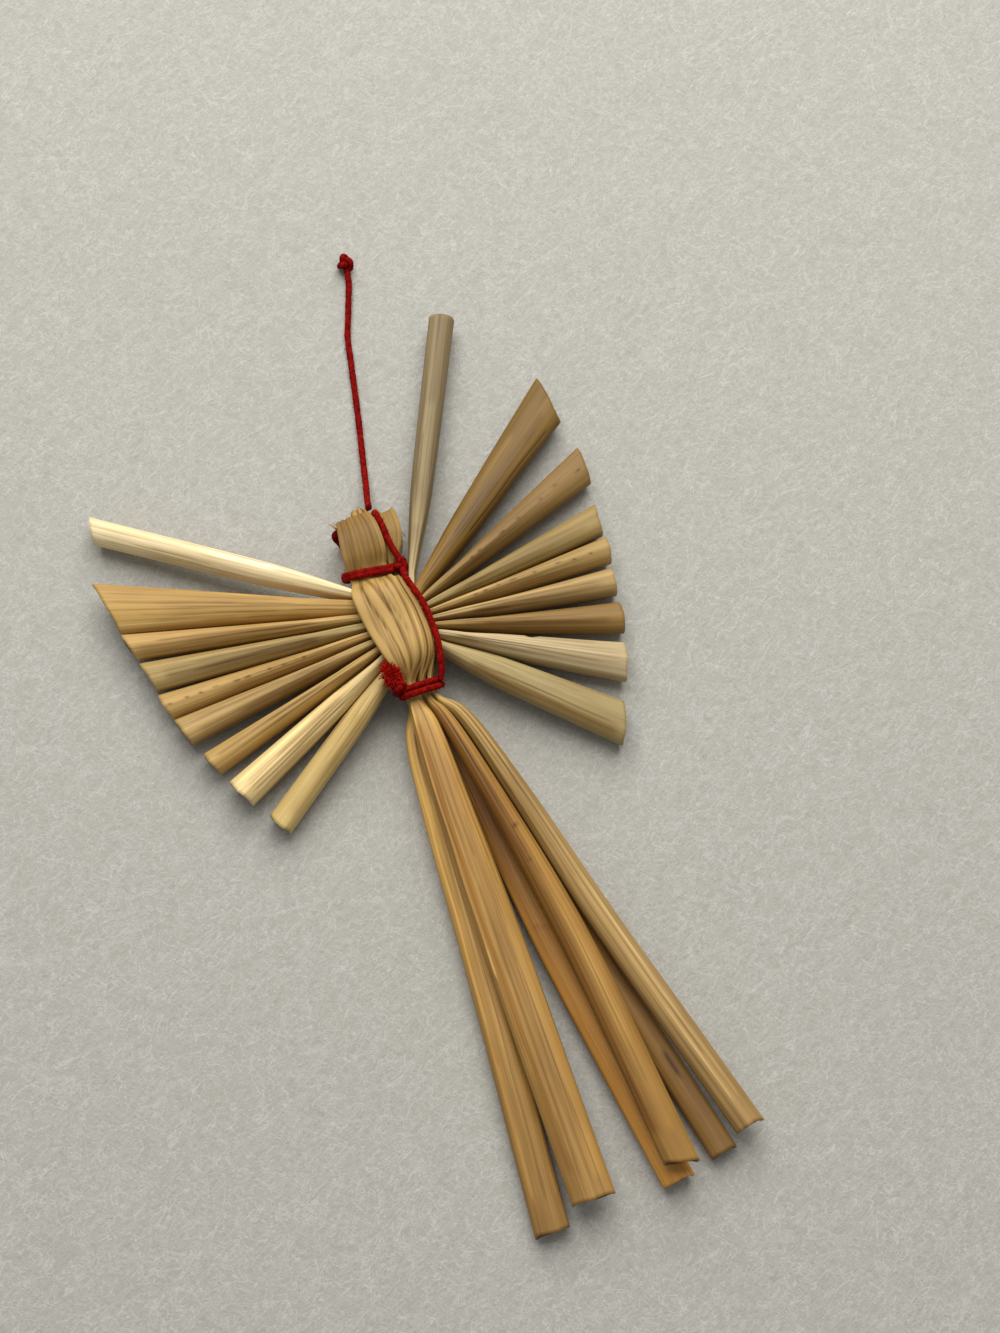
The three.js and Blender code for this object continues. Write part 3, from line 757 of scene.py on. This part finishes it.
BELLY_CRACKS = [
    Stroke((9.1, -0.62), (5.4, -0.1), 0.09, 0.22, CRACK_SHADE),
    Stroke((9.2, -0.3), (7.0, 0.2), 0.12, 0.26, CRACK_SHADE),
    Stroke((7.1, 0.2), (5.3, 0.25), 0.1, 0.22, CRACK_SHADE),
    Stroke((9.2, 0.3), (7.4, 0.55), 0.07, 0.12, FINE_CRACK_SHADE),
    Stroke((9.2, 0.72), (5.3, 0.8), 0.11, 0.26, CRACK_SHADE),
    Stroke((8.3, 0.05), (6.4, 0.5), 0.06, 0.08, FINE_CRACK_SHADE),
    Stroke((7.6, -0.7), (5.6, -0.55), 0.06, 0.08, FINE_CRACK_SHADE),
    Stroke((6.9, -0.3), (5.3, 0.05), 0.12, -0.08, PALE_STREAK_AND_HIGHLIGHT),
    Stroke((6.6, 0.5), (5.3, 0.5), 0.13, -0.1, PALE_STREAK_AND_HIGHLIGHT),
]
HEAD_RIDGES = [Stroke((14.2, across), (10.2, across), width, depth, FINE_CRACK_SHADE)
               for across, width, depth in ((-0.72, 0.08, 0.1), (-0.45, 0.1, 0.14),
                                            (-0.2, 0.07, 0.09), (0.02, 0.09, 0.12),
                                            (0.28, 0.07, 0.09), (0.5, 0.1, 0.14),
                                            (0.75, 0.08, 0.1))]
# On the front tails of straws 1 and 2 the broad darker strokes on the left halves are painted
# shade and the broad paler ones on the right halves painted light.
# The thin bright lines on the tails are painted highlights along raised ridges and edges.
BODY_STROKES = [
    [*BELLY_CRACKS, *on_back(BELLY_CRACKS), *HEAD_RIDGES,
     Stroke((6.2, 0.3), (6.25, 0.3), 0.12, 0, STAIN),
     Stroke((4.2, -0.72), (0.9, -0.84), 0.1, -0.14, (1.6, 1.6, 1.7)),
     Stroke((3.5, -0.3), (0.3, -0.42), 0.07, -0.06, (1.35, 1.35, 1.4)),
     Stroke((4.1, 0.2), (1.6, 0.1), 0.08, 0.08, FINE_CRACK_SHADE),
     Stroke((3.3, -0.55), (0.1, -0.6), 0.35, 0.0, (0.84, 0.74, 0.6)),
     Stroke((3.8, 0.55), (0.05, 0.5), 0.5, -0.05, (1.25, 1.25, 1.2)),
     Stroke((22.5, -0.75), (25.9, -0.6), 0.16, -0.03, (1.4, 1.4, 1.4)),
     Stroke((22.5, 0.7), (25.9, 0.75), 0.12, -0.03, (1.3, 1.3, 1.3)),
     Stroke((22.8, 0.0), (25.9, 0.1), 0.08, 0.06, FINE_CRACK_SHADE)],
    [Stroke((8.5, 0.1), (5.2, -0.3), 0.1, 0.12, CRACK_SHADE),
     Stroke((3.8, -0.7), (0.1, -0.75), 0.6, 0.0, (0.72, 0.6, 0.45)),
     Stroke((3.8, 0.3), (0.1, 0.2), 0.35, -0.06, (1.25, 1.25, 1.2)),
     Stroke((1.75, 0.1), (1.72, 0.1), 0.3, 0.0, STAIN),
     Stroke((1.5, -0.2), (1.48, -0.2), 0.2, 0.0, DARK_STREAK),
     Stroke((24.85, -0.9), (24.95, 0.9), 0.4, -0.05, FAINT_STREAK)],
    [Stroke((4.2, -0.2), (0.1, -0.1), 0.12, -0.04, PALE_STREAK_AND_HIGHLIGHT),
     Stroke((4.2, 0.4), (0.1, 0.45), 0.1, -0.04, PALE_STREAK_AND_HIGHLIGHT),
     Stroke((4.2, 0.1), (0.3, 0.15), 0.08, 0.07, FINE_CRACK_SHADE),
     Stroke((25.55, 0.1), (25.7, 0.1), 0.25, 0.0, STAIN)],
]
# Each body straw's colour multipliers, as (place, colour)
# On straw 2 the darker stretch at places 22 to 24 is painted shade, where its back tail lies under
# the front tails.
# On straw 3 the pale bluish tone at its waist, place 4, is painted highlight.
BODY_TONES = [
    [(0, (0.9, 0.85, 0.78)), (2, (1.03, 0.97, 0.82)), (4, (1.25, 1.28, 1.35)),
     (6, (1.25, 1.32, 1.4)), (9, (1.25, 1.32, 1.4)), (12, (0.64, 0.61, 0.45)),
     (16, (0.85, 0.85, 0.85)), (22, (1.45, 1.5, 1.55)), (24, (1.55, 1.55, 1.5)),
     (26, (0.74, 0.67, 0.6))],
    [(0, (0.85, 0.77, 0.58)), (2, (0.7, 0.58, 0.33)), (4, (1.1, 1.1, 1.05)), (6, (1.1, 1.1, 1.0)),
     (12, (0.78, 0.78, 0.62)), (16, (0.8, 0.8, 0.75)), (22, (0.7, 0.54, 0.3)),
     (24, (0.5, 0.34, 0.1)), (26, (1.6, 1.3, 0.9))],
    [(0, (0.97, 1.02, 1.32)), (3, (0.88, 0.95, 1.05)), (4, (1.4, 1.6, 2.1)), (6, (1, 1, 0.95)),
     (12, (0.75, 0.76, 0.62)), (16, (0.8, 0.8, 0.75)), (22, (0.8, 0.7, 0.48)),
     (24, (0.66, 0.5, 0.26)), (26, (0.58, 0.52, 0.42))],
]


def half_stations(spec, half):
    end_y = spec["ends"][0 if half == "front" else 1]
    levels = {**LEVEL_Y, "end": (end_y,), "head": (spec["head_y"],)}
    stations = []
    for level, (x, z, width, thickness) in zip(HALF_LEVELS, spec[half]):
        shift = x * math.tan(math.radians(LEVEL_SLOPE.get(level, 0)))
        stations += [((x, y + shift, z), width, thickness) for y in levels[level]]
    return stations


def make_body_straw(index):
    spec = BODY_STRAWS[index]
    name = f"body_straw_{index + 1}"
    stations = half_stations(spec, "front") + [spec["fold"]] + half_stations(spec, "back")[::-1]
    slot, dark, base, light = BODY
    rng = np.random.default_rng(BODY_LINES_SEED + index)
    lines = fine_lines(rng, 0.05, 3.9, 24) + fine_lines(rng, 22.1, 25.95, 24)
    piece = straw(name, stations, (1, 0, 0), spec["cuts"], math.pi / 2, BODY_SEED + index,
                  straw_material(name + "_dry", dark, base, light), BODY_TONES[index],
                  strokes=BODY_STROKES[index] + lines, pleats=GATHERED)


# ---- Thread ----
THREAD = 0.7  # diameter
PLIES = 3
PLY_TWIST = 1.7  # length of one turn of the plies
THREAD_SIDES = 20
THREAD_PITCH = 0.12
HAIRS_PER_MM = 15
HAIR = 0.04  # diameter of a loose fibre
FIBRE_TOP = 6.5  # no loose fibre stands higher than this
FIBRE_POINTS = 5
TURN_STEPS = 14  # points in one turn of a binding
KNOT_STEPS = 36


def moved_frame(tangent):
    """Two directions square to the tangent that turn as little as they can along it."""
    side = np.zeros_like(tangent)
    side[0] = unit(np.cross(tangent[0], (0.3, 0.2, 0.93)))
    for i in range(1, len(side)):
        side[i] = unit(side[i - 1] - tangent[i] * (side[i - 1] @ tangent[i]))
    return side, np.cross(tangent, side)


def tube(middle, radius, sides):
    """Points, quads and triangles of a tube along the points; radius may vary by ring and side."""
    side, other = moved_frame(unit(np.gradient(middle, axis=0)))
    angle = 2 * math.pi * np.arange(sides) / sides
    radius = np.broadcast_to(radius, (len(middle), sides))
    return capped(middle[:, None] + side[:, None] * (radius * np.cos(angle))[..., None]
                  + other[:, None] * (radius * np.sin(angle))[..., None])


def twisted(points):
    """The middle line of a thread along the route, and its solid."""
    u, reach = even_steps(points, THREAD_PITCH)
    middle = curve_at(points, u)
    angle = 2 * math.pi * np.arange(THREAD_SIDES) / THREAD_SIDES
    twist = 2 * math.pi * reach[:, None] / PLY_TWIST
    lobe = abs(np.cos((angle - twist) * PLIES / 2)) ** 0.7
    uneven = 0.012 * np.sin(reach * 2.3) + 0.012 * np.sin(reach * 5.1 + 1)
    return middle, tube(middle, THREAD / 2 * (0.9 + 0.06 * lobe) + uneven[:, None], THREAD_SIDES)


def fuzz(middle, rng, reach=0.28):
    """Loose fibres that stand off a thread."""
    fibres = []
    for _ in range(int(len(middle) * THREAD_PITCH * HAIRS_PER_MM)):
        start = middle[rng.integers(len(middle))]
        way = unit(rng.normal(size=3))
        drift = rng.normal(size=3) * 0.12
        t = np.linspace(0, 1, FIBRE_POINTS)[:, None]
        line = start + way * (0.25 + rng.uniform(0.3, 1) * reach * t) + drift * t * t
        line[:, 2] = np.clip(line[:, 2], HAIR, FIBRE_TOP)
        fibres.append(tube(line, HAIR / 2, 3))
    return fibres


def tuft(at, size, rng, count=1500):
    """The frayed thread end: a soft lump of fine fibres standing out all round."""
    parts = []
    for _ in range(count):
        way = unit(rng.normal(size=3))
        start = np.array(at) + way * np.array(size) * rng.uniform(0.05, 0.8)
        curl = rng.normal(size=3) * 0.25
        t = np.linspace(0, 1, FIBRE_POINTS)[:, None]
        line = start + way * np.array(size) * rng.uniform(0.1, 0.4) * t + curl * t * (1 - 0.5 * t)
        line[:, 2] = np.minimum(line[:, 2], FIBRE_TOP)
        parts.append(tube(line, rng.uniform(0.025, 0.045), 4))
    return parts


BINDING_LEAN = 0.26  # how far a binding is nearer the head for each millimetre lower


def winding(spec, turns, pitch):
    """The route of a binding: turns of thread round the bundle, a pitch apart. It leans, so that
    it's nearer the head behind the bundle than in front."""
    count = round(turns * TURN_STEPS)
    route = []
    for i in range(count + 1):
        turn = (i / count - 0.5) * turns
        angle = math.radians(spec["start"]) + 2 * math.pi * (i / count) * turns
        c, s = math.cos(angle), math.sin(angle)
        reach = (abs(c) ** 3 + abs(s) ** 3) ** (-1 / 3)
        across = spec["half_width"] * reach * c
        slope = math.tan(math.radians(spec["slope"]))
        below = spec["half_height"] * (1 - reach * s)
        route.append((spec["x"] + across,
                      spec["y"] + across * slope - turn * pitch + BINDING_LEAN * below,
                      LAYER_Z + spec["half_height"] - below))
    return route


def knot_route(at, size, turn):
    """A small overhand knot: a trefoil, flattened into its box and turned about Z."""
    route = []
    for i in range(KNOT_STEPS):
        t = 2 * math.pi * i / KNOT_STEPS
        x = (math.sin(t) + 2 * math.sin(2 * t)) / 3
        y = (math.cos(t) - 2 * math.cos(2 * t)) / 3
        z = -math.sin(3 * t)
        spread = [(extent - THREAD) / 2 for extent in size]
        c, s = math.cos(turn), math.sin(turn)
        route.append((at[0] + spread[0] * (x * c - y * s), at[1] + spread[1] * (x * s + y * c),
                      at[2] + spread[2] * z))
    return route


# Each is (place, size)
NECK_KNOT = ((2.5, 5.6, 4.65), (1.7, 1.8, 1.4))
WAIST_KNOT = ((-2.3, -6.4, 5.15), (1.6, 1.8, 1.7))
TUFT = ((-2.6, -5.05, 5.4), (1.15, 1.55, 0.85))
TUFT_TINT = (1.9, 2.6, 2.2)
PLAIN = (1, 1, 1)
END_KNOT_SIZE = (2.0, 2.1, 1.6)
END_JOINT_Z = 0.0007  # metres: how high the thread's end is inside its knot

SIDE_RUN = [
    (2.6, 5.4, 4.75), (2.35, 4.3, 5.4), (2.4, 3.35, 5.9), (2.7, 1.87, 6.08), (2.95, 0.65, 6.1),
    (3.0, -0.67, 6.1), (2.97, -2.07, 6.1), (2.85, -3.7, 6.05), (2.55, -5, 5.8), (2.2, -6.3, 5.3),
    (1.75, -7.2, 4.85)]
HEAD_RUN = [
    (2.6, 5.8, 4.9), (2.35, 7.1, 5.05), (2.2, 8.5, 5.15), (2.2, 10, 5.2), (2.12, 11.2, 5),
    (2.0, 11.9, 4.55)]
TUCKED_RUN = [
    (-1.95, 6.4, 1.5), (-1.9, 7.2, 0.95), (-1.9, 8.4, 0.5), (-1.9, 10.0, 0.4), (-2.1, 11.3, 0.6),
    (-2.4, 11.85, 1.3), (-2.45, 12.0, 2.1), (-2.1, 11.9, 2.8), (-1.3, 11.6, 3.1)]
# The hanging thread's route, in metres in the frame of the solids' layout
HANGING_RUN = [
    (0.00172, 0.01285, 0.0039), (0.00185, 0.01345, 0.00325), (0.002, 0.0142, 0.00255),
    (0.0023, 0.0153, 0.00185), (0.00262, 0.0165, 0.0012), (0.00305, 0.0182, 0.00065),
    (0.00375, 0.0208, 0.0004), (0.00455, 0.0238, 0.00038), (0.0054, 0.0272, 0.00038),
    (0.0062, 0.0304, 0.00038), (0.0069, 0.0332, 0.00038), (0.00775, 0.0353, 0.00038),
    (0.00855, 0.0373, 0.00038), (0.0092, 0.0389, 0.0004), (0.00945, 0.0398, 0.0005)]


def red_piece(name, parts, material, tints):
    """One piece of thread from parts, each with its own colour multiplier."""
    tint = np.concatenate([np.tile(colour, (len(part[0]), 1))
                           for part, colour in zip(parts, tints)])
    piece = add_mesh(name, *joined(parts), material, tint=tint)
    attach(piece, "root")
    return piece


def make_binding(material):
    rng = np.random.default_rng(5)
    routes = [winding(NECK, 2, 0.3), winding(WAIST, 2, 0.95 * THREAD), SIDE_RUN, HEAD_RUN,
              TUCKED_RUN, knot_route(*NECK_KNOT, 0.4), knot_route(*WAIST_KNOT, 1.1)]
    parts = tuft(*TUFT, rng)
    tints = [TUFT_TINT] * len(parts)
    for route in routes:
        middle, solid = twisted(route)
        parts += [solid, *fuzz(middle, rng)]
    tints += [PLAIN] * (len(parts) - len(tints))
    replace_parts(red_piece("binding_thread_twist", parts, material, tints), "binding_thread")


def make_hanging(material):
    """The free thread: up from the head to the knot at its end."""
    rng = np.random.default_rng(6)
    _, solid = twisted(knot_route(END_KNOT, END_KNOT_SIZE, 0.7))
    knot = red_piece("end_knot_twist", [solid], material, [PLAIN])
    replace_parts(knot, "end_knot")
    joint = (END_KNOT[0] * MM, END_KNOT[1] * MM, END_JOINT_Z)
    middle, solid = twisted(np.array([*HANGING_RUN, joint]) / MM)
    parts = [solid, *fuzz(middle, rng, 0.2)]
    cord = red_piece("hanging_thread_twist", parts, material, [PLAIN] * len(parts))
    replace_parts(cord, "hanging_thread")


# Torn fibres: where each starts, where it ends, how far its middle stands up, and its width
TORN_FIBRES = [
    ((-2.1, 12.0, 3.4), (-2.75, 13.0, 3.3), 0.3, 0.26),
    ((-1.9, 12.2, 3.4), (-2.3, 12.9, 3.6), 0.2, 0.14),
    ((0.2, 12.1, 3.5), (0.35, 13.5, 3.1), 0.25, 1.2),
    ((0.9, 12.1, 3.3), (0.8, 13.75, 2.9), 0.3, 0.9),
    ((1.2, 12.0, 3.4), (1.5, 13.3, 3.2), 0.4, 0.6),
    ((-0.4, 12.2, 3.6), (-0.7, 12.95, 3.5), 0.15, 0.5),
    ((2.7, 11.9, 3.3), (2.2, 12.8, 3.5), 0.3, 0.25),
    ((3.6, 11.8, 3.2), (4.1, 12.4, 3.0), 0.2, 0.2),
    ((3.6, 10.2, 3.0), (4.25, 8.9, 2.4), 0.2, 0.18),
    ((3.4, 9.6, 2.8), (3.95, 8.2, 2.2), 0.2, 0.14),
    ((1.55, 11.7, 4.1), (1.75, 10.6, 4.9), 0.1, 0.16),
    ((-2.2, 9.4, 5.0), (-2.75, 8.6, 4.6), 0.15, 0.12),
]


def make_torn_fibres():
    """Frayed edges round the head, where the folded straws have split."""
    parts = []
    flat = np.array([1, 0.16, 1, 0.16])  # a flat diamond across
    for start, end, arch, width in TORN_FIBRES:
        t = np.linspace(0, 1, 12)[:, None]
        line = np.array(start) * (1 - t) + np.array(end) * t
        line[:, 2:] += 4 * arch * t * (1 - t)
        taper = np.maximum(1 - t ** 3, 0.05)
        parts.append(tube(line, width / 2 * taper * flat, 4))
    points, quads, caps = joined(parts)
    slot, dark, base, light = BODY
    tint = np.full((len(points), 3), 1.1)
    uv = tuple(points[faces][..., :2] for faces in (quads, caps))
    piece = add_mesh("torn_fibres", points, quads, caps,
                     straw_material("torn_fibres_dry", dark, base, light), uv, tint)
    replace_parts(piece, "body_straw_1")
    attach(piece, "root")


# ---- Floor and light ----
FLOOR_REACH = 1.5  # metres
# Wisps are (scale, how drawn out they are, direction), and hairs (scale, direction, shift)
WISPS = ((420, 3.0, 0.5), (520, 3.5, 2.2), (900, 2.0, 3.6))
HAIRS = ((150, 0.3, 0.1), (190, 1.4, 0.5), (230, 2.6, 0.9))
HAIR_STRETCH = 2.0
HAIR_HALF_WIDTH = 0.012  # how far the noise is from its middle value at a hair's edge
HAIR_PART = 0.34  # how strongly a hair's colour covers the sheet's
HAIR_COLOUR = (0.62, 0.61, 0.57)
PAPER_DARK = (0.305, 0.29, 0.25)
PAPER_LIGHT = (0.43, 0.415, 0.366)


def maths(add, link, operation, first, second=None):
    """The result of a maths node, whose second value is a number or another node's output."""
    node = add("ShaderNodeMath", operation=operation)
    link(first, node.inputs[0])
    if isinstance(second, float):
        node.inputs[1].default_value = second
    elif second is not None:
        link(second, node.inputs[1])
    return node.outputs[0]


def drawn_out_noise(add, link, scale, stretch, turn, shift=0.0, **looks):
    """Noise drawn out along one direction of the sheet."""
    place = add("ShaderNodeTexCoord")
    scaled = add("ShaderNodeMapping", vector_type="TEXTURE")
    scaled.inputs["Rotation"].default_value = (0, 0, turn)
    scaled.inputs["Location"].default_value = (shift, shift, shift)
    scaled.inputs["Scale"].default_value = (1, 1 / stretch, 1)
    link(place.outputs["Object"], scaled.inputs["Vector"])
    noise = add("ShaderNodeTexNoise", Scale=scale, **looks)
    link(scaled.outputs["Vector"], noise.inputs["Vector"])
    return noise.outputs["Fac"]


def paper_wisps(add, link):
    """The soft unevenness of the sheet, about 0 to 2."""
    first, second, third = (
        drawn_out_noise(add, link, *wisp, Detail=5.0, Roughness=0.62, Distortion=1.4)
        for wisp in WISPS)
    return maths(add, link, "ADD", maths(add, link, "MAXIMUM", first, second), third)


def paper_hairs(add, link):
    """1 along thin wandering lines, where a noise crosses its middle value, and 0 elsewhere."""
    hairs = None
    for scale, turn, shift in HAIRS:
        noise = drawn_out_noise(add, link, scale, HAIR_STRETCH, turn, shift, Detail=3.0,
                                Roughness=0.55, Distortion=2.0)
        away = maths(add, link, "ABSOLUTE", maths(add, link, "SUBTRACT", noise, 0.5))
        line = add("ShaderNodeMapRange")
        line.inputs["From Max"].default_value = HAIR_HALF_WIDTH
        line.inputs["To Min"].default_value = 1
        line.inputs["To Max"].default_value = 0
        link(away, line.inputs["Value"])
        hair = line.outputs["Result"]
        hairs = hair if hairs is None else maths(add, link, "MAXIMUM", hairs, hair)
    return hairs


def paper_material():
    """A pale sheet of soft fibrous paper."""
    material, shader, add, link = node_tools("paper")
    wisps = paper_wisps(add, link)
    ground = ramp(add, [(0.3, PAPER_DARK), (0.72, PAPER_LIGHT)])
    link(maths(add, link, "MULTIPLY", wisps, 0.5), ground.inputs["Fac"])
    colour = add("ShaderNodeMix", data_type="RGBA")
    link(maths(add, link, "MULTIPLY", paper_hairs(add, link), HAIR_PART),
         colour.inputs["Factor"])
    link(ground.outputs["Color"], colour.inputs[6])
    colour.inputs[7].default_value = (*HAIR_COLOUR, 1)
    link(colour.outputs[2], shader.inputs["Base Color"])
    raise_surface(add, link, shader, wisps, 0.3, 0.0003)
    shader.inputs["Roughness"].default_value = 0.95
    shader.inputs["Specular IOR Level"].default_value = 0.1
    return material


def make_floor():
    mesh = bpy.data.meshes.new("floor")
    corners = [(x * FLOOR_REACH, y * FLOOR_REACH, 0)
               for x, y in ((-1, -1), (1, -1), (1, 1), (-1, 1))]
    mesh.from_pydata(corners, [], [(0, 1, 2, 3)])
    mesh.materials.append(paper_material())
    floor = bpy.data.objects.new("floor", mesh)
    bpy.context.scene.collection.objects.link(floor)


def make_light(name, north, east, height, size, power):
    """A soft square lamp, placed in millimetres up and across the picture from the target."""
    data = bpy.data.lights.new(name, "AREA")
    data.size = size * MM
    data.energy = power
    lamp = bpy.data.objects.new(name, data)
    target = Vector(row(VIEW_TARGET))
    place = target + (VIEW_NORTH * north + VIEW_RIGHT * east + Vector((0, 0, height))) * MM
    lamp.matrix_world = Matrix.Translation(place) @ (target - place).to_track_quat(
        "-Z", "Y").to_matrix().to_4x4()
    bpy.context.scene.collection.objects.link(lamp)


def make_world():
    """An even, faintly blue light from all round."""
    world = bpy.data.worlds.new("room")
    bpy.context.scene.world = world
    world.use_nodes = True
    sky = world.node_tree.nodes["Background"]
    sky.inputs["Color"].default_value = (0.95, 0.97, 1.0, 1)
    sky.inputs["Strength"].default_value = 0.36


# ---- The scene ----
make_camera()
for wing_index in range(len(WING_STRAWS)):
    make_wing_straw(wing_index)
for body_index in range(len(BODY_STRAWS)):
    make_body_straw(body_index)
make_torn_fibres()
red = thread_material()
make_binding(red)
make_hanging(red)
make_floor()
make_world()
make_light("window", north=290, east=-10, height=360, size=500, power=3.85)
bpy.context.scene.view_settings.view_transform = "Standard"
